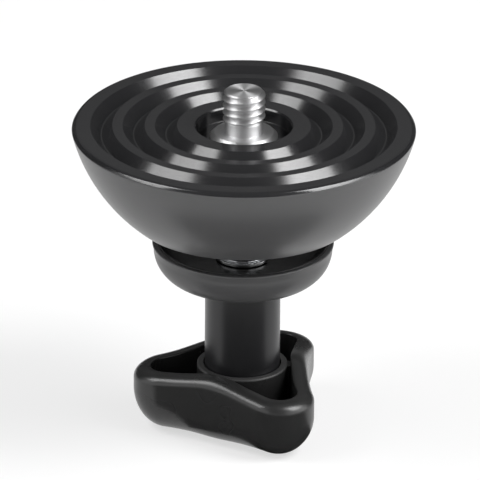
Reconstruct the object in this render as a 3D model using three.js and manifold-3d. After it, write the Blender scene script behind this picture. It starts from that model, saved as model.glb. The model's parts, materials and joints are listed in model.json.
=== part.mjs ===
// Tripod half ball adapter, 75 mm, in millimetres with +Z up.
// A turned half ball carries a flanged stud on its ribbed face. A draw rod hangs from it, and a
// handle with a tube and a three-lobed knob screws up the rod and pulls a clamp cup towards the ball.
// The origin is the centre of the knob's underside, which the adapter stands on.
import * as THREE from 'three';
import { mergeVertices } from 'three/addons/utils/BufferGeometryUtils.js';
import Module from 'manifold-3d';

const wasm = await Module();
wasm.setup();

// Clearances
const fitGap = 0.3; // radial gap between a turned piece and the bore it sits in
const seatGap = 0.1; // gap between two flat faces that bear on each other
const cutOverrun = 2; // how far a cutting tool runs past the faces it cuts
const weldDistance = 0.0005; // vertices closer than this are one

// Half ball
const ballRadius = 38.75; // spherical seat
const undersideRadius = 24; // flat underside
const ballHeight = 21.5;
const rimChamferHeight = 0.9;
const rimChamferWidth = 0.75;
const rimLand = 3.35; // width of the flat between the rim's chamfer and the outermost groove
const counterboreLand = 4.1; // width of the flat between the counterbore and the innermost groove
const ridgeWidth = 2.25; // flat between two grooves
const grooveFloor = 0.3; // width of the flat at the bottom of a groove
const grooveCount = 3;
const counterboreRadius = 10.45;
const counterboreDepth = 3.1;
const webThickness = 1.5; // solid metal left between the stud's bore and the rod's bore
const nutPocketClearance = 1; // radial gap round the lock washer
const nutPocketDepth = 5.4;

// Mounting stud, 3/8 inch by 16 turns to the inch
const studRadius = 4.65;
const studPitch = 1.5875;
const studThreadDepth = 0.95;
const studThreadLength = 7;
const studNeckRadius = 4.2;
const studNeckLength = 2.6;
const studChamfer = 0.65;
const flangeRadius = 7.4;
const flangeThickness = 1.6;
const flangeChamfer = 0.9;
const studShankLength = 6.4; // screwed into the ball below the flange

// Draw rod, 8 mm thread with a pitch of 1.25 mm. Its radius comes from the sleeve round it.
const rodPitch = 1.25;
const rodThreadDepth = 0.7;
const rodChamfer = 0.6;
const rodThreadRun = 18; // length of modelled thread, which shows when the cup is lowered
const lockNutWall = 2.2; // from the bore to a flat
const lockNutHeight = 4;
const lockWasherLand = 3.3; // from the bore to the edge
const lockWasherThickness = 1;

// Clamp cup
const bowlGap = 5.8; // open height between the ball's underside and the cup's rim
const cupRimRadius = 19.95;
const cupWallRadius = 19.55; // where the wall turns into the rounded underside
const cupHeight = 8.85;
const cupCornerRadius = 7.4;
const cupLip = 1.2; // width of the flat rim
const cupFloorThickness = 4.7;
const cupHollowRadius = 6.4; // radius of the turn between the hollow's side and its floor

// Retaining ring and thrust washer
const ringLand = 0.9; // how far the ring stands out from the insert's neck
const ringThickness = 0.8;
const ringOpening = 50; // degrees left open, so that the ring springs over the insert
const ringPlay = 0.15; // radial gap between the ring and the bottom of its groove
const thrustInset = 0.25; // how far the washer's edge lies inside the sleeve's
const thrustThickness = 0.8;

// Threaded insert
const insertWall = 2; // from the rod's bore to the body's outside
const insertNeckWall = 0.7; // from the rod's bore to the neck's outside
const insertGrooveDepth = 0.4;
const insertNeckRise = 1.6; // height of the neck above the cup's floor
const insertBodyLength = 8.6;
const insertChamfer = 0.4;

// Stem sleeve
const sleeveRadius = 8.25;
const sleeveWall = 1.65;
const sleeveExposed = 19.2; // length that shows between the washer and the knob's hub
const sleeveChamfer = 0.5;

// End stop at the rod's lower end
const lowerTurns = 8; // turns of the knob from rest until the insert meets the stop
const stopClearance = 0.6; // radial gap between the round stop and the sleeve that it passes through
const stopWasherThickness = 1;
const stopNutHeight = 5.4;
const stopSlotWidth = 2; // for a pin wrench
const stopSlotDepth = 1.6;
const rodTail = 0.8; // rod left below the stop nut

// Knob
const lobeRadius = 7.8; // plan radius of a lobe's end
const lobeReach = 23.8; // from the axis to the tip of a lobe
const sideHollow = 1.4; // how far a side curves in from the straight line between two lobes
const knobHeight = 15; // mean height of the wall
const knobCrown = 1; // the wall is higher by this at the sides and lower at the lobes
const knobWall = 3.8; // thickness at the top, from the side to the pocket's edge
const knobEdgeRadius = 3.5; // rounding between side and top
const pocketFloorRadius = 1.5; // rounding between a pocket's wall and its floor
const knobBottomRadius = 7.3; // rounding between side and underside
const bottomRiseShare = 0.28; // the rounding is higher by this at the lobes and lower at the sides
const knobFloor = 3.4;
const hubWall = 1.4;
const hubHeight = 15;
const ribWidth = 1.3;
const ribRootWidth = 4;
const ribDrop = 0.4; // a rib's top lies this far below the hub's, and its foot below the floor
const seatShelf = 1.4; // width of the shelf under the sleeve's lower end
const plugThickness = 1.6;
const plugRecess = 0.3;

// Smoothness
const ballSegments = 60;
const cupSegments = 60;
const boltSegments = 30;
const rodSegments = 20;
const smallSegments = 36;
const lobeSteps = 9;
const sideSteps = 9;
const arcSteps = 5;
const studRowsPerPitch = 6;
const rodRowsPerPitch = 4;

// Widths and bores worked out from the sizes above
const sphereCentreRise = Math.sqrt(ballRadius ** 2 - undersideRadius ** 2) - ballHeight;
const rimRadius = Math.sqrt(ballRadius ** 2 - (sphereCentreRise + rimChamferHeight) ** 2);
const faceRadius = rimRadius - rimChamferWidth;
const groovesInside = counterboreRadius + counterboreLand;
const groovesAcross = faceRadius - rimLand - groovesInside;
const grooveWidth = (groovesAcross - (grooveCount - 1) * ridgeWidth) / grooveCount;
const grooveDepth = (grooveWidth - grooveFloor) / 2; // both walls slope at 45 degrees
const studBore = studRadius + fitGap;
const sleeveBore = sleeveRadius - sleeveWall;
const insertBodyRadius = sleeveBore - fitGap;
const rodBore = insertBodyRadius - insertWall;
const rodRadius = rodBore - fitGap;
const insertNeckRadius = rodBore + insertNeckWall;
const ringRadius = insertNeckRadius + ringLand;
const cupBore = insertNeckRadius + fitGap;
const thrustRadius = sleeveRadius - thrustInset;
const stopRadius = sleeveBore - stopClearance;
const hubBore = sleeveRadius + fitGap;
const hubRadius = hubBore + hubWall;
const lockNutFlats = 2 * (rodBore + lockNutWall);
const lockWasherRadius = rodBore + lockWasherLand;
const nutPocketRadius = lockWasherRadius + nutPocketClearance;

// Heights worked out from the sizes above
const hubTop = hubHeight;
const sleeveTop = hubTop + sleeveExposed;
const thrustBottom = sleeveTop + seatGap;
const cupBottom = thrustBottom + thrustThickness + seatGap;
const cupFloor = cupBottom + cupFloorThickness;
const cupRim = cupBottom + cupHeight;
const ballBottom = cupRim + bowlGap;
const faceHeight = ballBottom + ballHeight;
const counterboreFloor = faceHeight - counterboreDepth;
const flangeBottom = counterboreFloor + seatGap;
const flangeTop = flangeBottom + flangeThickness;
const neckTop = flangeTop + studNeckLength;
const studTop = neckTop + studThreadLength;
const studBottom = flangeBottom - studShankLength;
const studBoreFloor = studBottom - fitGap;
const nutPocketTop = ballBottom + nutPocketDepth;
const rodBoreTop = studBoreFloor - webThickness;
const rodTop = rodBoreTop - fitGap;
const lockWasherTop = nutPocketTop - seatGap;
const lockNutTop = lockWasherTop - lockWasherThickness - seatGap;
const lockNutBottom = lockNutTop - lockNutHeight;
const insertTop = cupFloor + insertNeckRise;
const ringBottom = cupFloor + seatGap;
const insertShoulder = sleeveTop;
const insertBottom = insertShoulder - insertBodyLength;
const stopWasherTop = insertBottom - lowerTurns * rodPitch - seatGap;
const stopNutTop = stopWasherTop - stopWasherThickness - seatGap;
const stopNutBottom = stopNutTop - stopNutHeight;
const rodBottom = stopNutBottom - rodTail;
const plugTop = plugRecess + plugThickness;
const sleeveBottom = plugTop + seatGap;


const satinBlack = { color: 0x24262a, roughness: 0.42, metalness: 0.75 };
const glossBlack = { color: 0x0c0d0f, roughness: 0.22, metalness: 0.4 };
const stainless = { color: 0xc9cacb, roughness: 0.24, metalness: 1 };
const zincSteel = { color: 0x9fa3a6, roughness: 0.38, metalness: 0.9 };
const nylonBlack = { color: 0x1b1b1c, roughness: 0.55, metalness: 0 };
const knobBlack = { color: 0x17181a, roughness: 0.38, metalness: 0 };

const adapter = new THREE.Group();

function addPiece(name, geometry, finish) {
  const mesh = new THREE.Mesh(geometry, new THREE.MeshStandardMaterial(finish));
  mesh.name = name;
  adapter.add(mesh);
  return mesh;
}

function signedVolume(position, index) {
  const a = new THREE.Vector3();
  const b = new THREE.Vector3();
  const c = new THREE.Vector3();
  let total = 0;
  for (let i = 0; i < index.length; i += 3) {
    a.fromBufferAttribute(position, index[i]);
    b.fromBufferAttribute(position, index[i + 1]);
    c.fromBufferAttribute(position, index[i + 2]);
    total += a.dot(b.cross(c));
  }
  return total;
}

// Welds a geometry, drops triangles that have no area and turns its faces outward.
function closedBody(geometry) {
  const bare = geometry.clone();
  bare.deleteAttribute('normal');
  bare.deleteAttribute('uv');
  const merged = mergeVertices(bare, weldDistance);
  const kept = [];
  const source = merged.index.array;
  for (let i = 0; i < source.length; i += 3) {
    const [a, b, c] = [source[i], source[i + 1], source[i + 2]];
    if (a !== b && b !== c && c !== a) kept.push(a, b, c);
  }
  if (signedVolume(merged.attributes.position, kept) < 0) kept.reverse();
  merged.setIndex(kept);
  merged.computeVertexNormals();
  return merged;
}

// Turns a profile of [radius, height] points round the Z axis.
function turned(profile, segments) {
  const points = profile.map(([radius, height]) => new THREE.Vector2(radius, height));
  const geometry = new THREE.LatheGeometry(points, segments);
  geometry.rotateX(Math.PI / 2);
  return closedBody(geometry);
}

// Closes a stack of rings, each of the same number of points, with a point at either end.
function ringStack(firstPoint, rings, lastPoint) {
  const count = rings[0].length;
  const positions = [...firstPoint, ...rings.flat(2), ...lastPoint];
  const last = 1 + rings.length * count;
  const index = [];
  for (let i = 0; i < count; i++) {
    const next = (i + 1) % count;
    index.push(0, 1 + next, 1 + i);
    for (let row = 0; row + 1 < rings.length; row++) {
      const low = 1 + row * count;
      const high = low + count;
      index.push(low + i, low + next, high + next);
      index.push(low + i, high + next, high + i);
    }
    index.push(last, last - count + i, last - count + next);
  }
  const geometry = new THREE.BufferGeometry();
  geometry.setAttribute('position', new THREE.Float32BufferAttribute(positions, 3));
  geometry.setIndex(index);
  return closedBody(geometry);
}

function arcPoints(centreX, centreY, radius, fromAngle, toAngle, steps) {
  const points = [];
  for (let i = 0; i <= steps; i++) {
    const angle = fromAngle + ((toAngle - fromAngle) * i) / steps;
    points.push([centreX + radius * Math.cos(angle), centreY + radius * Math.sin(angle)]);
  }
  return points;
}

function toSolid(geometry) {
  const body = closedBody(geometry);
  return new wasm.Manifold(new wasm.Mesh({
    numProp: 3,
    vertProperties: new Float32Array(body.attributes.position.array),
    triVerts: new Uint32Array(body.index.array),
  }));
}

function fromSolid(solid) {
  const mesh = solid.getMesh();
  const geometry = new THREE.BufferGeometry();
  geometry.setAttribute('position', new THREE.BufferAttribute(new Float32Array(mesh.vertProperties), 3));
  geometry.setIndex(new THREE.BufferAttribute(new Uint32Array(mesh.triVerts), 1));
  geometry.computeVertexNormals();
  return geometry;
}

// Radius of a right-hand thread, which grows out of the plain shank below it over its first turn.
function threadRadius(thread, height, angle) {
  const { radius, depth, pitch, bottom, shankRadius } = thread;
  const turn = (height - bottom) / pitch - angle / (2 * Math.PI);
  const share = Math.abs(2 * (turn - Math.floor(turn)) - 1);
  const grown = Math.min((height - bottom) / pitch, 1);
  const lowest = shankRadius + (radius - depth - shankRadius) * grown;
  const highest = shankRadius + (radius - shankRadius) * grown;
  return THREE.MathUtils.clamp(radius - depth * share, lowest, highest);
}

function roundRing(radiusAt, height, segments) {
  const ring = [];
  for (let i = 0; i < segments; i++) {
    const angle = (2 * Math.PI * i) / segments;
    const radius = radiusAt(angle);
    ring.push([radius * Math.cos(angle), radius * Math.sin(angle), height]);
  }
  return ring;
}

// A bolt with its axis on Z. Its plain stretches are [radius, height] rows.
function bolt(rowsBelow, thread, rowsAbove, segments) {
  const rings = [];
  const plain = ([radius, height]) => rings.push(roundRing(() => radius, height, segments));
  rowsBelow.forEach(plain);
  const rows = Math.round(((thread.top - thread.bottom) / thread.pitch) * thread.rowsPerPitch);
  for (let row = 0; row <= rows; row++) {
    const height = thread.bottom + ((thread.top - thread.bottom) * row) / rows;
    rings.push(roundRing((angle) => threadRadius(thread, height, angle), height, segments));
  }
  rowsAbove.forEach(plain);
  const lowest = rings[0][0][2];
  const highest = rings[rings.length - 1][0][2];
  return ringStack([0, 0, lowest], rings, [0, 0, highest]);
}

function washer(innerRadius, outerRadius, bottom, thickness) {
  return turned([
    [innerRadius, bottom],
    [outerRadius, bottom],
    [outerRadius, bottom + thickness],
    [innerRadius, bottom + thickness],
    [innerRadius, bottom],
  ], smallSegments);
}

function hexNut(acrossFlats, boreRadius, bottom, height) {
  const cornerRadius = acrossFlats / Math.sqrt(3);
  const outline = new THREE.Shape();
  for (let corner = 0; corner < 6; corner++) {
    const angle = (corner * Math.PI) / 3;
    const point = [cornerRadius * Math.cos(angle), cornerRadius * Math.sin(angle)];
    if (corner === 0) outline.moveTo(...point);
    else outline.lineTo(...point);
  }
  outline.closePath();
  const bore = new THREE.Path();
  bore.absarc(0, 0, boreRadius, 0, 2 * Math.PI, true);
  outline.holes.push(bore);
  const options = { depth: height, bevelEnabled: false, curveSegments: rodSegments };
  const geometry = new THREE.ExtrudeGeometry(outline, options);
  geometry.translate(0, 0, bottom);
  return closedBody(geometry);
}

function halfBall() {
  const profile = [
    [0, studBoreFloor],
    [studBore, studBoreFloor],
    [studBore, counterboreFloor],
    [counterboreRadius, counterboreFloor],
    [counterboreRadius, faceHeight],
  ];
  for (let groove = 0; groove < grooveCount; groove++) {
    const start = groovesInside + groove * (grooveWidth + ridgeWidth);
    profile.push([start, faceHeight]);
    profile.push([start + grooveDepth, faceHeight - grooveDepth]);
    profile.push([start + grooveDepth + grooveFloor, faceHeight - grooveDepth]);
    profile.push([start + grooveWidth, faceHeight]);
  }
  profile.push([faceRadius, faceHeight]);
  const seatSteps = 2 * arcSteps;
  const topAngle = Math.asin((sphereCentreRise + rimChamferHeight) / ballRadius);
  const bottomAngle = Math.asin((sphereCentreRise + ballHeight) / ballRadius);
  const centreHeight = faceHeight + sphereCentreRise;
  profile.push(...arcPoints(0, centreHeight, ballRadius, -topAngle, -bottomAngle, seatSteps));
  profile.push([nutPocketRadius, ballBottom]);
  profile.push([nutPocketRadius, nutPocketTop]);
  profile.push([rodBore, nutPocketTop]);
  profile.push([rodBore, rodBoreTop]);
  profile.push([0, rodBoreTop]);
  return turned(profile, ballSegments);
}

function mountingStud() {
  const below = [
    [studRadius - studChamfer, studBottom],
    [studRadius, studBottom + studChamfer],
    [studRadius, flangeBottom],
    [flangeRadius, flangeBottom],
    [flangeRadius, flangeTop - flangeChamfer],
    [flangeRadius - flangeChamfer, flangeTop],
    [studNeckRadius, flangeTop],
  ];
  const thread = {
    radius: studRadius,
    depth: studThreadDepth,
    pitch: studPitch,
    bottom: neckTop,
    top: studTop - studChamfer,
    shankRadius: studNeckRadius,
    rowsPerPitch: studRowsPerPitch,
  };
  return bolt(below, thread, [[studRadius - studChamfer, studTop]], boltSegments);
}

function drawRod() {
  const threadTop = lockNutBottom;
  const thread = {
    radius: rodRadius,
    depth: rodThreadDepth,
    pitch: rodPitch,
    bottom: threadTop - rodThreadRun,
    top: threadTop,
    shankRadius: rodRadius,
    rowsPerPitch: rodRowsPerPitch,
  };
  const below = [
    [rodRadius - rodChamfer, rodBottom],
    [rodRadius, rodBottom + rodChamfer],
  ];
  const above = [
    [rodRadius, threadTop + rodThreadDepth],
    [rodRadius, rodTop - rodChamfer],
    [rodRadius - rodChamfer, rodTop],
  ];
  return bolt(below, thread, above, rodSegments);
}

// The cup's outside is a wall with a large round corner, and its hollow follows it.
function clampCup() {
  const hollowRim = cupRimRadius - cupLip;
  const cornerCentre = [cupWallRadius - cupCornerRadius, cupBottom + cupCornerRadius];
  const hollowCentre = [hollowRim - cupHollowRadius, cupFloor + cupHollowRadius];
  const hollowStart = Math.asin(Math.min((cupRim - hollowCentre[1]) / cupHollowRadius, 1));
  const profile = [
    [cupBore, cupBottom],
    ...arcPoints(...cornerCentre, cupCornerRadius, -Math.PI / 2, 0, arcSteps),
    [cupRimRadius, cupRim],
    ...arcPoints(...hollowCentre, cupHollowRadius, hollowStart, -Math.PI / 2, arcSteps),
    [cupBore, cupFloor],
    [cupBore, cupBottom],
  ];
  return turned(profile, cupSegments);
}

function retainingRing() {
  const innerRadius = insertNeckRadius - insertGrooveDepth + ringPlay;
  const half = THREE.MathUtils.degToRad(ringOpening / 2);
  const outline = new THREE.Shape();
  outline.absarc(0, 0, ringRadius, half, 2 * Math.PI - half, false);
  outline.absarc(0, 0, innerRadius, 2 * Math.PI - half, half, true);
  outline.closePath();
  const options = { depth: ringThickness, bevelEnabled: false, curveSegments: smallSegments };
  const geometry = new THREE.ExtrudeGeometry(outline, options);
  geometry.translate(0, 0, ringBottom);
  return closedBody(geometry);
}

function threadedInsert() {
  const grooveBottom = ringBottom - seatGap;
  const grooveTop = ringBottom + ringThickness + seatGap;
  const grooveRadius = insertNeckRadius - insertGrooveDepth;
  return turned([
    [rodBore, insertBottom],
    [insertBodyRadius, insertBottom],
    [insertBodyRadius, insertShoulder],
    [insertNeckRadius, insertShoulder],
    [insertNeckRadius, grooveBottom],
    [grooveRadius, grooveBottom],
    [grooveRadius, grooveTop],
    [insertNeckRadius, grooveTop],
    [insertNeckRadius, insertTop - insertChamfer],
    [insertNeckRadius - insertChamfer, insertTop],
    [rodBore, insertTop],
    [rodBore, insertBottom],
  ], smallSegments);
}

function stemSleeve() {
  return turned([
    [sleeveBore, sleeveBottom],
    [sleeveRadius, sleeveBottom],
    [sleeveRadius, sleeveTop - sleeveChamfer],
    [sleeveRadius - sleeveChamfer, sleeveTop],
    [sleeveBore, sleeveTop],
    [sleeveBore, sleeveBottom],
  ], smallSegments);
}

// The knob's plan is three lobe arcs joined by three hollow side arcs. An inset moves it inwards.
function knobOutline(inset) {
  const lobeDistance = lobeReach - lobeRadius;
  const sideDistance = lobeDistance / 2 + lobeRadius - sideHollow;
  const rise = lobeDistance ** 2 + sideDistance ** 2 - lobeDistance * sideDistance - lobeRadius ** 2;
  const sideRadius = rise / (2 * sideHollow);
  const sideCentre = sideDistance + sideRadius;
  const third = Math.PI / 3;
  const across = sideCentre * Math.sin(third);
  const along = sideCentre * Math.cos(third) - lobeDistance;
  const lobeSweep = Math.atan2(across, along);
  const sideSweep = Math.asin((lobeDistance * Math.sin(third)) / (sideRadius + lobeRadius));
  const points = [];
  for (let lobe = 0; lobe < 3; lobe++) {
    const facing = Math.PI + lobe * 2 * third;
    const lobeX = lobeDistance * Math.cos(facing);
    const lobeY = lobeDistance * Math.sin(facing);
    const lobeEnds = [facing - lobeSweep, facing + lobeSweep];
    points.push(...arcPoints(lobeX, lobeY, lobeRadius - inset, ...lobeEnds, lobeSteps));
    const towards = facing + third;
    const sideX = sideCentre * Math.cos(towards);
    const sideY = sideCentre * Math.sin(towards);
    const back = towards + Math.PI;
    const side = arcPoints(sideX, sideY, sideRadius + inset, back + sideSweep, back - sideSweep, sideSteps);
    points.push(...side.slice(1, -1));
  }
  return points;
}

function knobShell() {
  const rows = [];
  const quarter = Math.PI / 2;
  for (let step = 0; step <= arcSteps; step++) {
    const angle = (quarter * step) / arcSteps;
    const inset = knobBottomRadius * (1 - Math.sin(angle));
    const height = knobBottomRadius * (1 - Math.cos(angle));
    rows.push([inset, height, -bottomRiseShare * height]);
  }
  const edgeCentre = knobHeight - knobEdgeRadius;
  for (let step = 0; step <= arcSteps; step++) {
    const angle = (quarter * step) / arcSteps;
    const inset = knobEdgeRadius * (1 - Math.cos(angle));
    rows.push([inset, edgeCentre + knobEdgeRadius * Math.sin(angle), knobCrown]);
  }
  rows.push([knobWall, knobHeight, knobCrown]);
  rows.push([knobWall, knobFloor + pocketFloorRadius, 0]);
  rows.push([knobWall + pocketFloorRadius, knobFloor, 0]);
  const rings = rows.map(([inset, height, crown]) => knobOutline(inset).map(([x, y]) => {
    const wave = crown * Math.cos(3 * Math.atan2(y, x));
    return [x, y, height + wave];
  }));
  return ringStack([0, 0, 0], rings, [0, 0, knobFloor]);
}

function rib(facing) {
  const sideDistance = (lobeReach - lobeRadius) / 2 + lobeRadius - sideHollow;
  const reach = sideDistance - knobWall / 2;
  const root = hubRadius - ribWidth;
  const outline = new THREE.Shape();
  outline.moveTo(root, -ribRootWidth / 2);
  outline.lineTo(reach, -ribWidth / 2);
  outline.lineTo(reach, ribWidth / 2);
  outline.lineTo(root, ribRootWidth / 2);
  outline.closePath();
  const bottom = knobFloor - ribDrop;
  const options = { depth: hubHeight - ribDrop - bottom, bevelEnabled: false };
  const geometry = new THREE.ExtrudeGeometry(outline, options);
  geometry.translate(0, 0, bottom);
  geometry.rotateZ(facing);
  return geometry;
}

function knobBody() {
  const third = (2 * Math.PI) / 3;
  const hubFoot = knobFloor / 2;
  const hub = turned([[0, hubFoot], [hubRadius, hubFoot], [hubRadius, hubTop], [0, hubTop]], smallSegments);
  let solid = toSolid(knobShell()).add(toSolid(hub));
  for (let side = 0; side < 3; side++) solid = solid.add(toSolid(rib(side * third)));
  const shelfTop = sleeveBottom - seatGap;
  const bore = turned([
    [0, -cutOverrun],
    [hubBore - seatShelf, -cutOverrun],
    [hubBore - seatShelf, shelfTop],
    [hubBore, shelfTop],
    [hubBore, hubTop + cutOverrun],
    [0, hubTop + cutOverrun],
  ], smallSegments);
  return fromSolid(solid.subtract(toSolid(bore)));
}

function bottomPlug() {
  const radius = hubBore - seatShelf - fitGap;
  return turned([[0, plugRecess], [radius, plugRecess], [radius, plugTop], [0, plugTop]], smallSegments);
}

// A round nut with a slot across its lower face.
function stopNut() {
  const nut = toSolid(washer(rodBore, stopRadius, stopNutBottom, stopNutHeight));
  const slotHeight = stopSlotDepth + cutOverrun;
  const slot = new THREE.BoxGeometry(2 * (stopRadius + cutOverrun), stopSlotWidth, slotHeight);
  slot.translate(0, 0, stopNutBottom + stopSlotDepth - slotHeight / 2);
  return fromSolid(nut.subtract(toSolid(slot)));
}

function lockWasher() {
  return washer(rodBore, lockWasherRadius, lockWasherTop - lockWasherThickness, lockWasherThickness);
}

function stopWasher() {
  return washer(rodBore, stopRadius, stopWasherTop - stopWasherThickness, stopWasherThickness);
}

addPiece('half_ball', halfBall(), satinBlack);
addPiece('mounting_stud', mountingStud(), stainless);
addPiece('draw_rod', drawRod(), zincSteel);
addPiece('rod_lock_washer', lockWasher(), zincSteel);
addPiece('rod_lock_nut', hexNut(lockNutFlats, rodBore, lockNutBottom, lockNutHeight), zincSteel);
addPiece('clamp_cup', clampCup(), satinBlack);
addPiece('retaining_ring', retainingRing(), zincSteel);
addPiece('thrust_washer', washer(cupBore, thrustRadius, thrustBottom, thrustThickness), nylonBlack);
addPiece('threaded_insert', threadedInsert(), zincSteel);
addPiece('stem_sleeve', stemSleeve(), glossBlack);
addPiece('stop_washer', stopWasher(), zincSteel);
addPiece('stop_nut', stopNut(), zincSteel);
addPiece('knob_body', knobBody(), knobBlack);
addPiece('bottom_plug', bottomPlug(), knobBlack);

export default adapter;
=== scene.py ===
import json
import math

import bmesh
import bpy
from mathutils import Matrix, Vector

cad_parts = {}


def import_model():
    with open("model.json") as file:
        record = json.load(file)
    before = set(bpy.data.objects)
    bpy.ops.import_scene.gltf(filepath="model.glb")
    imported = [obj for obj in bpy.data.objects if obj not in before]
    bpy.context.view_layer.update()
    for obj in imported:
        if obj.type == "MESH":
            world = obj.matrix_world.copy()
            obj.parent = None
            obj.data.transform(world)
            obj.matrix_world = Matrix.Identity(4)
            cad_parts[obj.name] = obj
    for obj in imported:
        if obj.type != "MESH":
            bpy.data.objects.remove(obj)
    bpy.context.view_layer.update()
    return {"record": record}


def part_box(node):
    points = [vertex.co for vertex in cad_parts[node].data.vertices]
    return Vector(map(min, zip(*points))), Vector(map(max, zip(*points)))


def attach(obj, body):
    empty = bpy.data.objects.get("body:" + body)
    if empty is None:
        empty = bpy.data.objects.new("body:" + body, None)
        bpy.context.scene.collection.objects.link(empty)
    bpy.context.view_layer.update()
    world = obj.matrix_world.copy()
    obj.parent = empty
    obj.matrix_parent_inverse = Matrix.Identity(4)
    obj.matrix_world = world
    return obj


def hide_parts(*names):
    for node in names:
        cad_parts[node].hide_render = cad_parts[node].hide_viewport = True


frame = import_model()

# The visual model of a 75 mm tripod half ball adapter. Heights come from the CAD frame, and the
# sizes below are in millimetres, which MM turns into metres. Angles are in degrees.
MM = 0.001

# Photograph and camera
PHOTO_WIDTH = 480
SENSOR_WIDTH = 36
CAMERA_DISTANCE = 2500
CAMERA_PITCH = 23.78
CAMERA_ROLL = 0.4
PIXELS_PER_MM = 4.602
FACE_CENTRE_PIXEL = (243.1, 125.3)
IMAGE_CENTRE_PIXEL = (240, 240)
CAMERA_NEAR = 10
CAMERA_FAR = 20000

# Floor
FLOOR_RADIUS = 6000
FLOOR_ALBEDO = 0.86
FLOOR_GLOW = 0.6

# The world turns from its horizon's grey to its zenith's between two sines of the elevation
HORIZON_GREY = 0.95
ZENITH_GREY = 0.18
HORIZON_SINE = 0.05
ZENITH_SINE = 0.36

# Lamps. A panel has its side (-1 is left), first and last azimuth, lowest and highest elevation, and
# brightness. An azimuth is 0 at the front and 90 on either side.
PANEL_DISTANCE = 1100
STRIP_SWEEP = 9
PANELS = (
    (-1, 62, 100, 36, 64, 7.2),
    (1, 54, 95, 36, 64, 11.6),
    (-1, 28, 100, 2, 36, 1.0),
    (1, 28, 64, 2, 36, 1.5),
    (1, 64, 100, 2, 36, 2.6),
)

# Drapes, which only reflections see: painted dark reflections, with painted shade on the floor in front. A
# sweep is a first and a last azimuth, which is 90 on the right.
DRAPE_PAINTED_REFLECTION_ALBEDO = 0.04
DRAPE_STEPS = 24
DRAPE_LIFT = 0.3
DRAPE_RADIUS = 350
FLAG_INNER_RADIUS = 15
FLAG_OUTER_RADIUS = 56
FLAG_TOP = 13
FLAG_SWEEP = (-58, 68)
BACK_DRAPE_TOP = 198
BACK_DRAPE_SWEEP = (110, 250)
SIDE_DRAPE_BOTTOM = 165
SIDE_DRAPE_TOP = 430
SIDE_DRAPE_SWEEP = (105, 140)

# Half ball
BALL_RADIUS = 38.75
UNDERSIDE_RADIUS = 24
RIM_CHAMFER_HEIGHT = 0.9
RIM_CHAMFER_WIDTH = 0.75
RIM_ROUNDING = 1.1
RIM_LAND = 3.35
COUNTERBORE_LAND = 4.1
RIDGE_WIDTH = 2.25
GROOVE_FLOOR = 0.3
GROOVE_COUNT = 3
COUNTERBORE_RADIUS = 10.45
COUNTERBORE_DEPTH = 3.1
COUNTERBORE_CHAMFER = 0.3
STUD_BORE_RADIUS = 4.95
ROD_BORE_RADIUS = 4.3
NUT_POCKET_RADIUS = 8.6
NUT_POCKET_DEPTH = 5.4
BORE_DEPTH = 3
EDGE_BREAK = 0.12
LOWER_EDGE_BREAK = 0.5

# Threads, as shares of their pitch
THREAD_CREST_SHARE = 0.14
THREAD_ROOT_SHARE = 0.2
THREAD_RUNOUT_SHARE = 0.4

# Mounting stud
STUD_RADIUS = 4.65
STUD_PITCH = 1.5875
STUD_THREAD_DEPTH = 0.9
STUD_NECK_RADIUS = 4.2
STUD_NECK_LENGTH = 2.6
STUD_CHAMFER = 0.65
FLANGE_RADIUS = 7.4
FLANGE_THICKNESS = 1.6
FLANGE_CHAMFER = 0.9

# Draw rod and its nuts
ROD_RADIUS = 4
ROD_PITCH = 1.25
ROD_THREAD_DEPTH = 0.72
ROD_CHAMFER = 0.6
NUT_SIDES = 6
NUT_CHAMFER_ANGLE = 30
STOP_SLOT_WIDTH = 2
STOP_SLOT_DEPTH = 1.6

# Clamp cup
CUP_WALL_RADIUS = 19.55
CUP_CORNER_RADIUS = 7.4
CUP_LIP = 1.2
CUP_FLOOR_THICKNESS = 4.7
CUP_HOLLOW_RADIUS = 6.4
CUP_BORE_RADIUS = 5.3
CUP_EDGE_BREAK = 0.35

# Ring, washers, insert, sleeve and plug
RING_RADIUS = 5.9
RING_INNER_RADIUS = 4.75
RING_OPENING = 50
RING_EDGE = 0.2
WASHER_EDGE = 0.12
INSERT_NECK_RADIUS = 5
INSERT_GROOVE_DEPTH = 0.4
SEAT_GAP = 0.1
INSERT_CHAMFER = 0.4
SLEEVE_BORE_RADIUS = 6.6
SLEEVE_CHAMFER = 0.5
PLUG_EDGE = 0.3

# Knob
LOBE_COUNT = 3
LOBE_RADIUS = 7.8
LOBE_REACH = 23.8
SIDE_HOLLOW = 1.4
KNOB_HEIGHT = 15
KNOB_CROWN = 1
KNOB_WALL = 3.8
KNOB_EDGE_RADIUS = 3.5
KNOB_EDGE_HEIGHT = 2.6
POCKET_EDGE_RADIUS = 0.3
POCKET_FLOOR_RADIUS = 1.5
KNOB_BOTTOM_RADIUS = 7.3
BOTTOM_RISE_SHARE = 0.28
KNOB_FLOOR = 3.4
HUB_RADIUS = 9.95
HUB_HEIGHT = 15
HUB_EDGE = 0.4
RIB_WIDTH = 1.3
RIB_ROOT_WIDTH = 4
RIB_DROP = 0.4
HUB_BORE_RADIUS = 8.55
PLUG_BORE_RADIUS = 7.15
SHELF_HEIGHT = 1.9
CUT_OVERRUN = 2

# Smoothness
ROUND_SEGMENTS = 240
SMALL_SEGMENTS = 120
FILLET_STEPS = 6
SEAT_STEPS = 48
CORNER_STEPS = 20
THREAD_ROWS = 14
LOBE_STEPS = 40
SIDE_STEPS = 32
SHARP_ANGLE = 40
MERGE_DISTANCE = 0.0001

# Surface detail
MARKS_DETAIL = 4
MARKS_SHARE = 0.6
CLOUD_DETAIL = 3
METAL_CLOUD_SCALE = 90
PLASTIC_CLOUD_SCALE = 60
GRAIN_DETAIL = 2
MASK_MARGIN = 0.08

# The sockets of Blender's Mix node that hold colours
MIX_FIRST = 6
MIX_SECOND = 7
MIX_RESULT = 2


def low(node):
    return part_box(node)[0].z / MM


def high(node):
    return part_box(node)[1].z / MM


def half_width(node):
    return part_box(node)[1].x / MM


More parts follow.
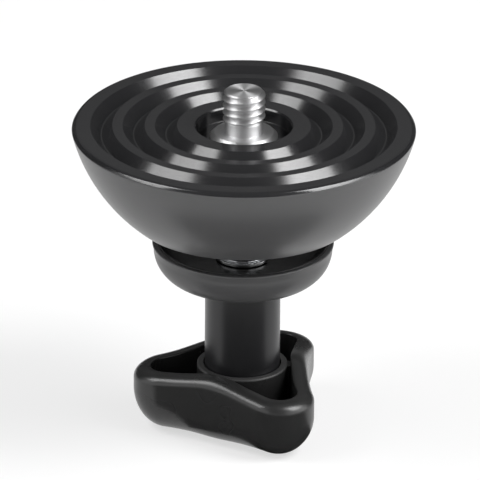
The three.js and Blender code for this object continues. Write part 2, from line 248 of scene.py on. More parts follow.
FACE = high("half_ball")
BALL_BOTTOM = low("half_ball")
SPHERE_CENTRE = BALL_BOTTOM + math.sqrt(BALL_RADIUS ** 2 - UNDERSIDE_RADIUS ** 2)
STUD_TOP = high("mounting_stud")
CUP_RIM = high("clamp_cup")
CUP_BOTTOM = low("clamp_cup")
CUP_FLOOR = CUP_BOTTOM + CUP_FLOOR_THICKNESS
CUP_RIM_RADIUS = half_width("clamp_cup")
SLEEVE_RADIUS = half_width("stem_sleeve")
INSERT_RADIUS = half_width("threaded_insert")
PLUG_RADIUS = half_width("bottom_plug")
LOBE_DISTANCE = LOBE_REACH - LOBE_RADIUS
SIDE_DISTANCE = LOBE_DISTANCE / 2 + LOBE_RADIUS - SIDE_HOLLOW


def arc(centre, radius, start, end, steps):
    """Points on an arc, with its angles in radians."""
    points = []
    for i in range(steps + 1):
        angle = start + (end - start) * i / steps
        points.append((centre[0] + radius * math.cos(angle), centre[1] + radius * math.sin(angle)))
    return points


def rounded(corners, closed):
    """Rounds each corner of a profile of (radius, height, rounding)."""
    points = []
    count = len(corners)
    for i, (r, z, rounding) in enumerate(corners):
        inner = closed or 0 < i < count - 1
        if rounding == 0 or not inner:
            points.append((r, z))
            continue
        here = Vector((r, z))
        before = Vector(corners[i - 1][:2]) - here
        after = Vector(corners[(i + 1) % count][:2]) - here
        half = before.angle(after) / 2
        reach = min(rounding / math.tan(half), before.length / 2, after.length / 2)
        radius = reach * math.tan(half)
        centre = here + (before.normalized() + after.normalized()).normalized() * math.hypot(radius, reach)
        start = here + before.normalized() * reach - centre
        end = here + after.normalized() * reach - centre
        sweep = start.angle_signed(end)
        for step in range(FILLET_STEPS + 1):
            turn = Matrix.Rotation(-sweep * step / FILLET_STEPS, 2)
            points.append(tuple(centre + turn @ start))
    return points


def new_object(name, vertices, faces):
    mesh = bpy.data.meshes.new(name)
    mesh.from_pydata([Vector(v) * MM for v in vertices], [], faces)
    piece = bpy.data.objects.new(name, mesh)
    bpy.context.scene.collection.objects.link(piece)
    return piece


def tidy(piece):
    """Turns the faces outward and smooths all but the sharp edges."""
    mesh = piece.data
    work = bmesh.new()
    work.from_mesh(mesh)
    bmesh.ops.remove_doubles(work, verts=work.verts, dist=MERGE_DISTANCE * MM)
    bmesh.ops.recalc_face_normals(work, faces=work.faces)
    work.to_mesh(mesh)
    work.free()
    mesh.shade_smooth()
    mesh.set_sharp_from_angle(angle=math.radians(SHARP_ANGLE))
    weighted = piece.modifiers.new("weighted", "WEIGHTED_NORMAL")
    weighted.keep_sharp = True
    return piece


def rings_object(name, rings, closed):
    """A surface through rings of equal count. Open stacks get a flat end face at either end."""
    count = len(rings[0])
    vertices = [v for ring in rings for v in ring]
    faces = []
    rows = len(rings) if closed else len(rings) - 1
    for row in range(rows):
        lower = row * count
        upper = ((row + 1) % len(rings)) * count
        for i in range(count):
            j = (i + 1) % count
            faces.append((lower + i, lower + j, upper + j, upper + i))
    if not closed:
        faces.append(tuple(reversed(range(count))))
        faces.append(tuple(range(len(vertices) - count, len(vertices))))
    return new_object(name, vertices, faces)


def level_ring(height, segments, radius_at):
    """Points round the axis at one height, each with the radius for its angle."""
    ring = []
    for i in range(segments):
        angle = 2 * math.pi * i / segments
        r = radius_at(angle)
        ring.append((r * math.cos(angle), r * math.sin(angle), height))
    return ring


def round_rings(profile, segments):
    return [level_ring(z, segments, lambda angle, r=r: r) for r, z in profile]


def lathe(name, profile, segments=ROUND_SEGMENTS, closed=True):
    """Turns a profile of (radius, height) round the Z axis."""
    return rings_object(name, round_rings(profile, segments), closed)


def turned(name, corners, segments=ROUND_SEGMENTS, closed=True):
    """Turns a profile of (radius, height, rounding) round the Z axis."""
    return lathe(name, rounded(corners, closed), segments, closed)


def thread_radius(radius, depth, pitch, height, angle):
    """A 60 degree thread with flats at its crest and root."""
    turn = (height / pitch - angle / (2 * math.pi)) % 1
    slope = (abs(2 * turn - 1) - THREAD_CREST_SHARE) / (1 - THREAD_CREST_SHARE - THREAD_ROOT_SHARE)
    return radius - depth * min(max(slope, 0), 1)


def threaded(name, below, end, radius, depth, pitch, bottom, top, shank):
    """A bolt: plain rows of (radius, height), a helical thread, and a 45 degree chamfer to its end.

    The thread grows out of a shank of the given radius.
    """
    rings = round_rings(below, SMALL_SEGMENTS)
    end_radius, end_height = end
    rows = round((top - bottom) / pitch * THREAD_ROWS)
    for row in range(rows + 1):
        z = bottom + (top - bottom) * row / rows
        grown = min((z - bottom) / (pitch * THREAD_RUNOUT_SHARE), 1)
        least = shank + (radius - depth - shank) * grown
        chamfer = end_radius + end_height - z
        most = min(shank + (radius - shank) * grown, radius, chamfer)

        def radius_at(angle):
            return min(max(thread_radius(radius, depth, pitch, z, angle), least), most)

        rings.append(level_ring(z, SMALL_SEGMENTS, radius_at))
    rings += round_rings([end], SMALL_SEGMENTS)
    return rings_object(name, rings, False)


def combine(piece, other, operation):
    """Joins or cuts a piece with another solid, which is then deleted."""
    boolean = piece.modifiers.new("boolean", "BOOLEAN")
    boolean.operation = operation
    boolean.solver = "EXACT"
    boolean.object = other
    with bpy.context.temp_override(object=piece, active_object=piece):
        bpy.ops.object.modifier_apply(modifier=boolean.name)
    bpy.data.objects.remove(other)


def seat_radius(height):
    return math.sqrt(BALL_RADIUS ** 2 - (SPHERE_CENTRE - height) ** 2)


def groove_corners(face_radius):
    """V-grooves with narrow flat floors, evenly wide between the counterbore's land and the rim's."""
    inside = COUNTERBORE_RADIUS + COUNTERBORE_LAND
    ridges = (GROOVE_COUNT - 1) * RIDGE_WIDTH
    width = (face_radius - RIM_LAND - inside - ridges) / GROOVE_COUNT
    depth = (width - GROOVE_FLOOR) / 2
    corners = []
    for groove in range(GROOVE_COUNT):
        start = inside + groove * (width + RIDGE_WIDTH)
        corners.append((start, FACE, EDGE_BREAK))
        corners.append((start + depth, FACE - depth, EDGE_BREAK))
        corners.append((start + depth + GROOVE_FLOOR, FACE - depth, EDGE_BREAK))
        corners.append((start + width, FACE, EDGE_BREAK))
    return corners


def half_ball():
    """Turned from the stud's bore over the face, down the spherical seat and up the nut's pocket."""
    floor_height = FACE - COUNTERBORE_DEPTH
    chamfer_bottom = FACE - RIM_CHAMFER_HEIGHT
    rim = seat_radius(chamfer_bottom)
    face_radius = rim - RIM_CHAMFER_WIDTH
    top_angle = math.asin((SPHERE_CENTRE - chamfer_bottom) / BALL_RADIUS)
    lower_angle = math.asin((SPHERE_CENTRE - BALL_BOTTOM - LOWER_EDGE_BREAK) / BALL_RADIUS)
    seat = arc((0, SPHERE_CENTRE), BALL_RADIUS, -top_angle, -lower_angle, SEAT_STEPS)
    face = rounded([
        (STUD_BORE_RADIUS, floor_height - BORE_DEPTH, 0),
        (STUD_BORE_RADIUS, floor_height, EDGE_BREAK),
        (COUNTERBORE_RADIUS, floor_height, EDGE_BREAK),
        (COUNTERBORE_RADIUS, FACE - COUNTERBORE_CHAMFER, 0),
        (COUNTERBORE_RADIUS + COUNTERBORE_CHAMFER, FACE, 0),
        *groove_corners(face_radius),
        (face_radius, FACE, RIM_ROUNDING),
        (rim, chamfer_bottom, RIM_ROUNDING),
        (*seat[1], 0),
    ], False)
    pocket_top = BALL_BOTTOM + NUT_POCKET_DEPTH
    underside = rounded([
        (*seat[-1], 0),
        (seat_radius(BALL_BOTTOM), BALL_BOTTOM, LOWER_EDGE_BREAK),
        (NUT_POCKET_RADIUS, BALL_BOTTOM, EDGE_BREAK),
        (NUT_POCKET_RADIUS, pocket_top, EDGE_BREAK),
        (ROD_BORE_RADIUS, pocket_top, 0),
        (ROD_BORE_RADIUS, pocket_top + BORE_DEPTH, 0),
    ], False)
    return tidy(lathe("ball_turned", face + seat[2:] + underside[1:], closed=False))


def mounting_stud():
    flange_bottom = FACE - COUNTERBORE_DEPTH + SEAT_GAP
    flange_top = flange_bottom + FLANGE_THICKNESS
    neck_top = flange_top + STUD_NECK_LENGTH
    below = rounded([
        (STUD_RADIUS, flange_bottom - BORE_DEPTH + SEAT_GAP, 0),
        (STUD_RADIUS, flange_bottom, 0),
        (FLANGE_RADIUS, flange_bottom, EDGE_BREAK),
        (FLANGE_RADIUS, flange_top - FLANGE_CHAMFER, EDGE_BREAK),
        (FLANGE_RADIUS - FLANGE_CHAMFER, flange_top, EDGE_BREAK),
        (STUD_NECK_RADIUS, flange_top, EDGE_BREAK),
        (STUD_NECK_RADIUS, neck_top - EDGE_BREAK, 0),
    ], False)
    end = (STUD_RADIUS - STUD_CHAMFER, STUD_TOP)
    return tidy(threaded(
        "stud_turned", below, end, radius=STUD_RADIUS, depth=STUD_THREAD_DEPTH, pitch=STUD_PITCH,
        bottom=neck_top, top=STUD_TOP - EDGE_BREAK, shank=STUD_NECK_RADIUS))


def draw_rod():
    bottom, top = low("draw_rod"), high("draw_rod")
    below = [(ROD_RADIUS - ROD_CHAMFER, bottom), (ROD_RADIUS, bottom + ROD_CHAMFER)]
    end = (ROD_RADIUS - ROD_CHAMFER, top)
    return tidy(threaded(
        "rod_threaded", below, end, radius=ROD_RADIUS, depth=ROD_THREAD_DEPTH, pitch=ROD_PITCH,
        bottom=bottom + 2 * ROD_CHAMFER, top=top - ROD_CHAMFER, shank=ROD_RADIUS))


def clamp_cup():
    hollow_rim = CUP_RIM_RADIUS - CUP_LIP
    corner_centre = (CUP_WALL_RADIUS - CUP_CORNER_RADIUS, CUP_BOTTOM + CUP_CORNER_RADIUS)
    corner = arc(corner_centre, CUP_CORNER_RADIUS, -math.pi / 2, 0, CORNER_STEPS)
    hollow_centre = (hollow_rim - CUP_HOLLOW_RADIUS, CUP_FLOOR + CUP_HOLLOW_RADIUS)
    rim = rounded([
        (*corner[-1], 0),
        (CUP_RIM_RADIUS, CUP_RIM, CUP_EDGE_BREAK),
        (hollow_rim, CUP_RIM, EDGE_BREAK),
        (hollow_rim, hollow_centre[1], 0),
    ], False)[:-1]
    start = math.asin(min((rim[-1][1] - hollow_centre[1]) / CUP_HOLLOW_RADIUS, 1))
    hollow = arc(hollow_centre, CUP_HOLLOW_RADIUS, start, -math.pi / 2, CORNER_STEPS)
    bore = [(CUP_BORE_RADIUS, CUP_FLOOR), (CUP_BORE_RADIUS, CUP_BOTTOM)]
    return tidy(lathe("cup_turned", corner + rim[1:] + hollow + bore))


def retaining_ring():
    """An open ring, swept round the axis from one side of its opening to the other."""
    bottom, top = low("retaining_ring"), high("retaining_ring")
    section = rounded([
        (RING_INNER_RADIUS, bottom, RING_EDGE),
        (RING_RADIUS, bottom, RING_EDGE),
        (RING_RADIUS, top, RING_EDGE),
        (RING_INNER_RADIUS, top, RING_EDGE),
    ], True)
    half = math.radians(RING_OPENING / 2)
    rings = []
    for i in range(SMALL_SEGMENTS + 1):
        angle = half + (2 * math.pi - 2 * half) * i / SMALL_SEGMENTS
        rings.append([(r * math.cos(angle), r * math.sin(angle), z) for r, z in section])
    return tidy(rings_object("ring_sprung", rings, False))


def flat_ring(name, node, inner):
    outer = half_width(node)
    return turned(name, [
        (inner, low(node), WASHER_EDGE),
        (outer, low(node), WASHER_EDGE),
        (outer, high(node), WASHER_EDGE),
        (inner, high(node), WASHER_EDGE),
    ], SMALL_SEGMENTS)


def washer(name, node, inner):
    return tidy(flat_ring(name, node, inner))


def rod_lock_nut():
    """A hexagonal prism with a bore, and a cone cut into its lower corners as their chamfer."""
    bottom, top = low("rod_lock_nut"), high("rod_lock_nut")
    corner = half_width("rod_lock_nut")
    hexagon = arc((0, 0), corner, 0, 2 * math.pi, NUT_SIDES)[:-1]
    nut = rings_object("lock_nut_hex", [[(x, y, z) for x, y in hexagon] for z in (bottom, top)], False)
    hollow = lathe("nut_cutter", [
        (ROD_BORE_RADIUS, bottom - CUT_OVERRUN),
        (ROD_BORE_RADIUS, top + CUT_OVERRUN),
    ], SMALL_SEGMENTS, False)
    combine(nut, hollow, "DIFFERENCE")
    flats = corner * math.cos(math.pi / NUT_SIDES)
    rise = corner - flats
    slope = math.tan(math.radians(NUT_CHAMFER_ANGLE))
    chamfer = lathe("chamfer_cutter", [
        (flats, bottom - rise * slope),
        (corner + CUT_OVERRUN, bottom + (rise + CUT_OVERRUN) * slope),
        (corner + CUT_OVERRUN, bottom - CUT_OVERRUN),
        (flats, bottom - CUT_OVERRUN),
    ], SMALL_SEGMENTS)
    combine(nut, chamfer, "DIFFERENCE")
    return tidy(nut)


def stop_nut():
    """A round nut with a slot across its underside."""
    nut = flat_ring("stop_nut_slotted", "stop_nut", ROD_BORE_RADIUS)
    bottom = low("stop_nut")
    reach = half_width("stop_nut") + CUT_OVERRUN
    half = STOP_SLOT_WIDTH / 2
    outline = [(-reach, -half), (reach, -half), (reach, half), (-reach, half)]
    slot = rings_object("slot_cutter", [
        [(x, y, bottom - CUT_OVERRUN) for x, y in outline],
        [(x, y, bottom + STOP_SLOT_DEPTH) for x, y in outline],
    ], False)
    combine(nut, slot, "DIFFERENCE")
    return tidy(nut)


def threaded_insert():
    bottom, neck_top = low("threaded_insert"), high("threaded_insert")
    shoulder = high("stem_sleeve")
    groove_bottom = low("retaining_ring") - SEAT_GAP
    groove_top = high("retaining_ring") + SEAT_GAP
    groove_radius = INSERT_NECK_RADIUS - INSERT_GROOVE_DEPTH
    return tidy(turned("insert_turned", [
        (ROD_BORE_RADIUS, bottom, EDGE_BREAK),
        (INSERT_RADIUS, bottom, EDGE_BREAK),
        (INSERT_RADIUS, shoulder, EDGE_BREAK),
        (INSERT_NECK_RADIUS, shoulder, 0),
        (INSERT_NECK_RADIUS, groove_bottom, 0),
        (groove_radius, groove_bottom, 0),
        (groove_radius, groove_top, 0),
        (INSERT_NECK_RADIUS, groove_top, 0),
        (INSERT_NECK_RADIUS, neck_top - INSERT_CHAMFER, EDGE_BREAK),
        (INSERT_NECK_RADIUS - INSERT_CHAMFER, neck_top, EDGE_BREAK),
        (ROD_BORE_RADIUS, neck_top, EDGE_BREAK),
    ], SMALL_SEGMENTS))


def stem_sleeve():
    bottom, top = low("stem_sleeve"), high("stem_sleeve")
    return tidy(turned("sleeve_tube", [
        (SLEEVE_BORE_RADIUS, bottom, EDGE_BREAK),
        (SLEEVE_RADIUS, bottom, EDGE_BREAK),
        (SLEEVE_RADIUS, top, SLEEVE_CHAMFER),
        (SLEEVE_BORE_RADIUS, top, EDGE_BREAK),
    ]))


def knob_outline(inset):
    """The knob's plan: lobe arcs joined by hollow side arcs.

    The side arcs' radius comes from the lobes standing a third of a turn apart.
    """
    rise = LOBE_DISTANCE ** 2 + SIDE_DISTANCE ** 2 - LOBE_DISTANCE * SIDE_DISTANCE - LOBE_RADIUS ** 2
    side_radius = rise / (2 * SIDE_HOLLOW)
    side_centre = SIDE_DISTANCE + side_radius
    half_step = math.pi / LOBE_COUNT
    along = side_centre * math.cos(half_step) - LOBE_DISTANCE
    across = side_centre * math.sin(half_step)
    lobe_sweep = math.atan2(across, along)
    side_sweep = math.asin(LOBE_DISTANCE * math.sin(half_step) / (side_radius + LOBE_RADIUS))
    points = []
    for lobe in range(LOBE_COUNT):
        facing = math.pi + lobe * 2 * half_step
        centre = (LOBE_DISTANCE * math.cos(facing), LOBE_DISTANCE * math.sin(facing))
        points += arc(centre, LOBE_RADIUS - inset, facing - lobe_sweep, facing + lobe_sweep, LOBE_STEPS)
        beside = facing + half_step
        centre = (side_centre * math.cos(beside), side_centre * math.sin(beside))
        back = beside + math.pi
        points += arc(centre, side_radius + inset, back + side_sweep, back - side_sweep, SIDE_STEPS)[1:-1]
    return points


def quarter_angles(steps):
    return [math.pi / 2 * step / steps for step in range(steps + 1)]


def knob_shell():
    """The moulding from its rounded bottom up the outside, over the rim and down into the pockets.

    Each row holds an inset from the outline, a height, and a crown that lifts the sides by its
    amount and lowers the lobes by as much.
    """
    rows = []
    for angle in quarter_angles(CORNER_STEPS):
        height = KNOB_BOTTOM_RADIUS * (1 - math.cos(angle))
        rows.append((KNOB_BOTTOM_RADIUS * (1 - math.sin(angle)), height, -BOTTOM_RISE_SHARE * height))
    edge = KNOB_HEIGHT - KNOB_EDGE_HEIGHT
    for angle in quarter_angles(CORNER_STEPS)[:-1]:
        inset = KNOB_EDGE_RADIUS * (1 - math.cos(angle))
        rows.append((inset, edge + KNOB_EDGE_HEIGHT * math.sin(angle), KNOB_CROWN))
    for angle in quarter_angles(FILLET_STEPS):
        inset = KNOB_WALL - POCKET_EDGE_RADIUS * (1 - math.sin(angle))
        rows.append((inset, KNOB_HEIGHT - POCKET_EDGE_RADIUS * (1 - math.cos(angle)), KNOB_CROWN))
    for angle in quarter_angles(FILLET_STEPS):
        inset = KNOB_WALL + POCKET_FLOOR_RADIUS * (1 - math.cos(angle))
        rows.append((inset, KNOB_FLOOR + POCKET_FLOOR_RADIUS * (1 - math.sin(angle)), 0))
    rings = []
    for inset, height, crown in rows:
        ring = []
        for x, y in knob_outline(inset):
            ring.append((x, y, height + crown * math.cos(LOBE_COUNT * math.atan2(y, x))))
        rings.append(ring)
    return rings_object("knob_moulded", rings, False)


def rib(facing):
    """A web from the hub to the wall's hollow side, narrower at the wall."""
    root = HUB_RADIUS - RIB_WIDTH
    reach = SIDE_DISTANCE - KNOB_WALL / 2
    turn = Matrix.Rotation(facing, 2)
    outline = [turn @ Vector(corner) for corner in (
        (root, -RIB_ROOT_WIDTH / 2),
        (reach, -RIB_WIDTH / 2),
        (reach, RIB_WIDTH / 2),
        (root, RIB_ROOT_WIDTH / 2),
    )]
    rings = []
    for z in (KNOB_FLOOR - RIB_DROP, HUB_HEIGHT - RIB_DROP):
        rings.append([(corner.x, corner.y, z) for corner in outline])
    return rings_object("rib", rings, False)


def knob_body():
    knob = knob_shell()
    hub = turned("hub", [
        (HUB_RADIUS, KNOB_FLOOR / 2, 0),
        (HUB_RADIUS, HUB_HEIGHT, HUB_EDGE),
        (HUB_RADIUS / 2, HUB_HEIGHT, 0),
    ], SMALL_SEGMENTS, False)
    combine(knob, hub, "UNION")
    for side in range(LOBE_COUNT):
        combine(knob, rib(side * 2 * math.pi / LOBE_COUNT), "UNION")
    bore = lathe("bore_cutter", [
        (PLUG_BORE_RADIUS, -CUT_OVERRUN),
        (PLUG_BORE_RADIUS, SHELF_HEIGHT),
        (HUB_BORE_RADIUS, SHELF_HEIGHT),
        (HUB_BORE_RADIUS, HUB_HEIGHT + CUT_OVERRUN),
    ], SMALL_SEGMENTS, False)
    combine(knob, bore, "DIFFERENCE")
    return tidy(knob)


def bottom_plug():
    bottom, top = low("bottom_plug"), high("bottom_plug")
    return tidy(turned("plug_moulded", [
        (PLUG_RADIUS / 2, bottom, 0),
        (PLUG_RADIUS, bottom, PLUG_EDGE),
        (PLUG_RADIUS, top, EDGE_BREAK),
        (PLUG_RADIUS / 2, top, 0),
    ], SMALL_SEGMENTS, False))


class Nodes:
    """A short way to write a node material."""

    def __init__(self, name):
        self.material = bpy.data.materials.new(name)
        self.material.use_nodes = True
        self.tree = self.material.node_tree
        self.tree.nodes.clear()
        self.output = self.add("ShaderNodeOutputMaterial")

    def add(self, kind, **settings):
        node = self.tree.nodes.new(kind)
        for name, value in settings.items():
            setattr(node, name, value)
        return node

    def link(self, source, target):
        self.tree.links.new(source, target)

    def put(self, value, socket):
        """Links another node's socket, or sets a colour or a number."""
        if isinstance(value, bpy.types.NodeSocket):
            self.link(value, socket)
        elif isinstance(value, tuple):
            socket.default_value = (*value, 1)
        else:
            socket.default_value = value

    def math(self, operation, *values):
        node = self.add("ShaderNodeMath", operation=operation)
        for value, socket in zip(values, node.inputs):
            self.put(value, socket)
        return node.outputs[0]

    def mix(self, factor, first, second):
        """Goes from one colour to another as the factor goes from 0 to 1."""
        node = self.add("ShaderNodeMix", data_type="RGBA")
        self.link(factor, node.inputs["Factor"])
        self.put(first, node.inputs[MIX_FIRST])
        self.put(second, node.inputs[MIX_SECOND])
        return node.outputs[MIX_RESULT]

    def spread(self, factor, least, most):
        """Goes from one number to another as the factor goes from 0 to 1."""
        node = self.add("ShaderNodeMapRange")
        self.link(factor, node.inputs["Value"])
        self.put(least, node.inputs["To Min"])
        self.put(most, node.inputs["To Max"])
        return node.outputs["Result"]

    def noise(self, vector, scale, detail):
        node = self.add("ShaderNodeTexNoise")
        self.link(vector, node.inputs["Vector"])
        self.put(scale, node.inputs["Scale"])
        self.put(detail, node.inputs["Detail"])
        return node.outputs["Fac"]

    def object_space(self):
        return self.add("ShaderNodeTexCoord").outputs["Object"]

    def turned_space(self):
        """Radius and height, so that a noise of it runs round the axis as a lathe's marks do."""
        split = self.add("ShaderNodeSeparateXYZ")
        self.link(self.object_space(), split.inputs[0])
        square = self.math("ADD", self.math("MULTIPLY", split.outputs[0], split.outputs[0]),
                           self.math("MULTIPLY", split.outputs[1], split.outputs[1]))
        join = self.add("ShaderNodeCombineXYZ")
        self.link(self.math("SQRT", square), join.inputs[0])
        self.link(split.outputs[2], join.inputs[2])
        return join.outputs[0]

    def away_from(self, height):
        """Distance from the point at that height on the axis."""
        node = self.add("ShaderNodeVectorMath", operation="DISTANCE")
        self.link(self.object_space(), node.inputs[0])
        node.inputs[1].default_value = (0, 0, height * MM)
        return node.outputs["Value"]

    def inside(self, radius, height):
        """1 within a radius of the axis and above a height, and 0 elsewhere."""
        split = self.add("ShaderNodeSeparateXYZ")
        self.link(self.turned_space(), split.inputs[0])
        return self.math("MULTIPLY", self.math("LESS_THAN", split.outputs[0], radius * MM),
                         self.math("GREATER_THAN", split.outputs[2], height * MM))

    def bump(self, height, distance):
        node = self.add("ShaderNodeBump")
        self.put(distance * MM, node.inputs["Distance"])
        self.link(height, node.inputs["Height"])
        return node.outputs["Normal"]

    def with_other(self, color, roughness, other):
        """Where the other mask is 1, its colour and its added roughness hold. These colours hold painted
        light: floor light on the seat beside its satin grey, shade in the cup's hollow, a sheen on the
        knob's hub.
        """
        if other is None:
            return color, roughness
        mask, other_color, added_roughness = other
        where = mask(self)
        added = self.math("MULTIPLY", where, added_roughness)
        return self.mix(where, color, other_color), self.math("ADD", roughness, added)

    def principled(self, color, roughness, normal, **sockets):
        shader = self.add("ShaderNodeBsdfPrincipled")
        if "Anisotropic" in sockets:
            tangent = self.add("ShaderNodeTangent", direction_type="RADIAL", axis="Z")
            self.link(tangent.outputs[0], shader.inputs["Tangent"])
        self.link(color, shader.inputs["Base Color"])
        self.link(roughness, shader.inputs["Roughness"])
        self.link(normal, shader.inputs["Normal"])
        for name, value in sockets.items():
            shader.inputs[name.replace("_", " ")].default_value = value
        self.link(shader.outputs[0], self.output.inputs["Surface"])
        return self.material


def turned_metal(name, dark, light, rough, marks_scale, marks_depth, other=None, **sockets):
    """Turned metal: fine marks round the axis, and a faint cloudiness in colour and gloss."""
    nodes = Nodes(name)
    marks = nodes.noise(nodes.turned_space(), marks_scale, MARKS_DETAIL)
    cloud = nodes.noise(nodes.object_space(), METAL_CLOUD_SCALE, CLOUD_DETAIL)
    mixed = nodes.math("ADD", nodes.math("MULTIPLY", marks, MARKS_SHARE),
                       nodes.math("MULTIPLY", cloud, 1 - MARKS_SHARE))
    color, roughness = nodes.with_other(nodes.mix(cloud, dark, light), nodes.spread(mixed, *rough), other)
    return nodes.principled(color, roughness, nodes.bump(marks, marks_depth), **sockets)


def moulded_plastic(name, dark, light, rough, grain_scale, grain_depth, other=None, **sockets):
    """Moulded plastic: a fine even grain and slow changes in gloss."""
    nodes = Nodes(name)
    space = nodes.object_space()
    grain = nodes.noise(space, grain_scale, GRAIN_DETAIL)
    cloud = nodes.noise(space, PLASTIC_CLOUD_SCALE, CLOUD_DETAIL)
    color, roughness = nodes.with_other(nodes.mix(cloud, dark, light), nodes.spread(cloud, *rough), other)
    return nodes.principled(color, roughness, nodes.bump(grain, grain_depth), **sockets)


# The seat's lighter, rougher grey is partly its satin finish and partly painted light from the floor below
# it.
def seat_satin_and_floor_light(nodes):
    return nodes.math("GREATER_THAN", nodes.away_from(SPHERE_CENTRE), (BALL_RADIUS - MASK_MARGIN) * MM)


# The cup's hollow is glossier, and its darker colour is painted shade in the recess under the ball.
def hollow_painted_shade(nodes):
    return nodes.inside(CUP_RIM_RADIUS - CUP_LIP + MASK_MARGIN, CUP_FLOOR - MASK_MARGIN)


# The hub's top is rougher, and its lighter grey is a painted sheen of the side lamps.
def hub_painted_sheen(nodes):
    return nodes.inside(HUB_RADIUS + MASK_MARGIN, HUB_HEIGHT - RIB_DROP - MASK_MARGIN)


# On the spherical seat, the lighter grey is partly satin finish and partly painted floor light.
def black_anodised():
    return turned_metal(
        "black_anodised", dark=(0.012, 0.012, 0.013), light=(0.016, 0.016, 0.017), rough=(0.12, 0.20),
        marks_scale=2500, marks_depth=0.001, other=(seat_satin_and_floor_light, (0.054, 0.054, 0.055), 0.18), IOR=1.55)


def stainless_steel():
    return turned_metal(
        "stainless_steel", dark=(0.56, 0.56, 0.57), light=(0.67, 0.67, 0.67), rough=(0.44, 0.54),
        marks_scale=3500, marks_depth=0.002, Metallic=1, Anisotropic=0.75, Anisotropic_Rotation=0.25)


def zinc_plate():
    return turned_metal(
        "zinc_plate", dark=(0.66, 0.67, 0.69), light=(0.76, 0.77, 0.78), rough=(0.16, 0.26),
        marks_scale=2500, marks_depth=0.002, Metallic=1, Anisotropic=0.4, Anisotropic_Rotation=0.25)


# Inside the hollow, the darker colour is painted shade under the ball, and the lower roughness makes it
# glossier.
def cup_satin():
    return turned_metal(
        "cup_satin", dark=(0.046, 0.046, 0.047), light=(0.054, 0.054, 0.055), rough=(0.34, 0.42),
        marks_scale=1500, marks_depth=0.001, other=(hollow_painted_shade, (0.008, 0.008, 0.008), -0.16), IOR=1.5)


def sleeve_enamel():
    return turned_metal(
        "sleeve_enamel", dark=(0.006, 0.006, 0.007), light=(0.010, 0.010, 0.011), rough=(0.29, 0.36),
        marks_scale=900, marks_depth=0.001, IOR=1.5)


# The lighter grey on the hub's top is a painted sheen of the side lamps.
def knob_plastic():
    return moulded_plastic(
        "knob_plastic", dark=(0.014, 0.014, 0.014), light=(0.019, 0.019, 0.019), rough=(0.24, 0.32),
        grain_scale=1800, grain_depth=0.004, other=(hub_painted_sheen, (0.030, 0.030, 0.030), 0.22), IOR=1.5)


def black_nylon():
    return moulded_plastic(
        "black_nylon", dark=(0.020, 0.020, 0.020), light=(0.030, 0.030, 0.030), rough=(0.45, 0.55),
        grain_scale=1500, grain_depth=0.003, IOR=1.5)


def place(piece, node, materials):
    """Gives a piece its material and its body, and hides the CAD node that it stands for."""
    record = frame["record"]
    slot = next(part["material_slot"] for part in record["subparts"] if part["node"] == node)
    body = next(name for name, members in record["behaviour"]["bodies"].items() if node in members)
    piece.data.materials.append(materials[slot])
    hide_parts(node)
    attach(piece, body)


def build_object():
    materials = {
        "anodised": black_anodised(),
        "stainless": stainless_steel(),
        "zinc": zinc_plate(),
        "cup_black": cup_satin(),
        "sleeve_black": sleeve_enamel(),
        "knob_black": knob_plastic(),
        "nylon": black_nylon(),
    }
    pieces = {
        "half_ball": half_ball(),
        "mounting_stud": mounting_stud(),
        "draw_rod": draw_rod(),
        "rod_lock_washer": washer("lock_washer_flat", "rod_lock_washer", ROD_BORE_RADIUS),
        "rod_lock_nut": rod_lock_nut(),
        "clamp_cup": clamp_cup(),
        "retaining_ring": retaining_ring(),
        "thrust_washer": washer("thrust_washer_flat", "thrust_washer", CUP_BORE_RADIUS),
        "threaded_insert": threaded_insert(),
        "stem_sleeve": stem_sleeve(),
        "stop_washer": washer("stop_washer_flat", "stop_washer", ROD_BORE_RADIUS),
        "stop_nut": stop_nut(),
        "knob_body": knob_body(),
        "bottom_plug": bottom_plug(),
    }
    for node, piece in pieces.items():
        place(piece, node, materials)


def floor():
    """A pale matt disc that glows to the camera and in reflections."""
    rim = arc((0, 0), FLOOR_RADIUS, 0, 2 * math.pi, SMALL_SEGMENTS)[:-1]
    disc = new_object("floor", [(x, y, 0) for x, y in rim], [tuple(range(SMALL_SEGMENTS))])
    nodes = Nodes("pale_floor")
    diffuse = nodes.add("ShaderNodeBsdfDiffuse")
    diffuse.inputs["Color"].default_value = (FLOOR_ALBEDO, FLOOR_ALBEDO, FLOOR_ALBEDO, 1)
    glow = nodes.add("ShaderNodeEmission")
    glow.inputs["Color"].default_value = (1, 1, 1, 1)
    mix = nodes.add("ShaderNodeMixShader")
    path = nodes.add("ShaderNodeLightPath")
    seen = nodes.math("MAXIMUM", path.outputs["Is Camera Ray"], path.outputs["Is Glossy Ray"])
    seen = nodes.math("MAXIMUM", seen, path.outputs["Is Transmission Ray"])
    nodes.link(nodes.math("MULTIPLY", seen, FLOOR_GLOW), mix.inputs[0])
    nodes.link(diffuse.outputs[0], mix.inputs[1])
    nodes.link(glow.outputs[0], mix.inputs[2])
    nodes.link(mix.outputs[0], nodes.output.inputs["Surface"])
    disc.data.materials.append(nodes.material)


def world():
    """A pale horizon that turns grey overhead."""
    sky = bpy.data.worlds.new("studio")
    bpy.context.scene.world = sky
    sky.use_nodes = True
    tree = sky.node_tree
    coordinates = tree.nodes.new("ShaderNodeTexCoord")
    split = tree.nodes.new("ShaderNodeSeparateXYZ")
    ramp = tree.nodes.new("ShaderNodeValToRGB")
    horizon, zenith = ramp.color_ramp.elements
    horizon.position = HORIZON_SINE
    horizon.color = (HORIZON_GREY, HORIZON_GREY, HORIZON_GREY, 1)
    zenith.position = ZENITH_SINE
    zenith.color = (ZENITH_GREY, ZENITH_GREY, ZENITH_GREY, 1)
    tree.links.new(coordinates.outputs["Generated"], split.inputs[0])
    tree.links.new(split.outputs["Z"], ramp.inputs["Fac"])
    tree.links.new(ramp.outputs["Color"], tree.nodes["Background"].inputs["Color"])


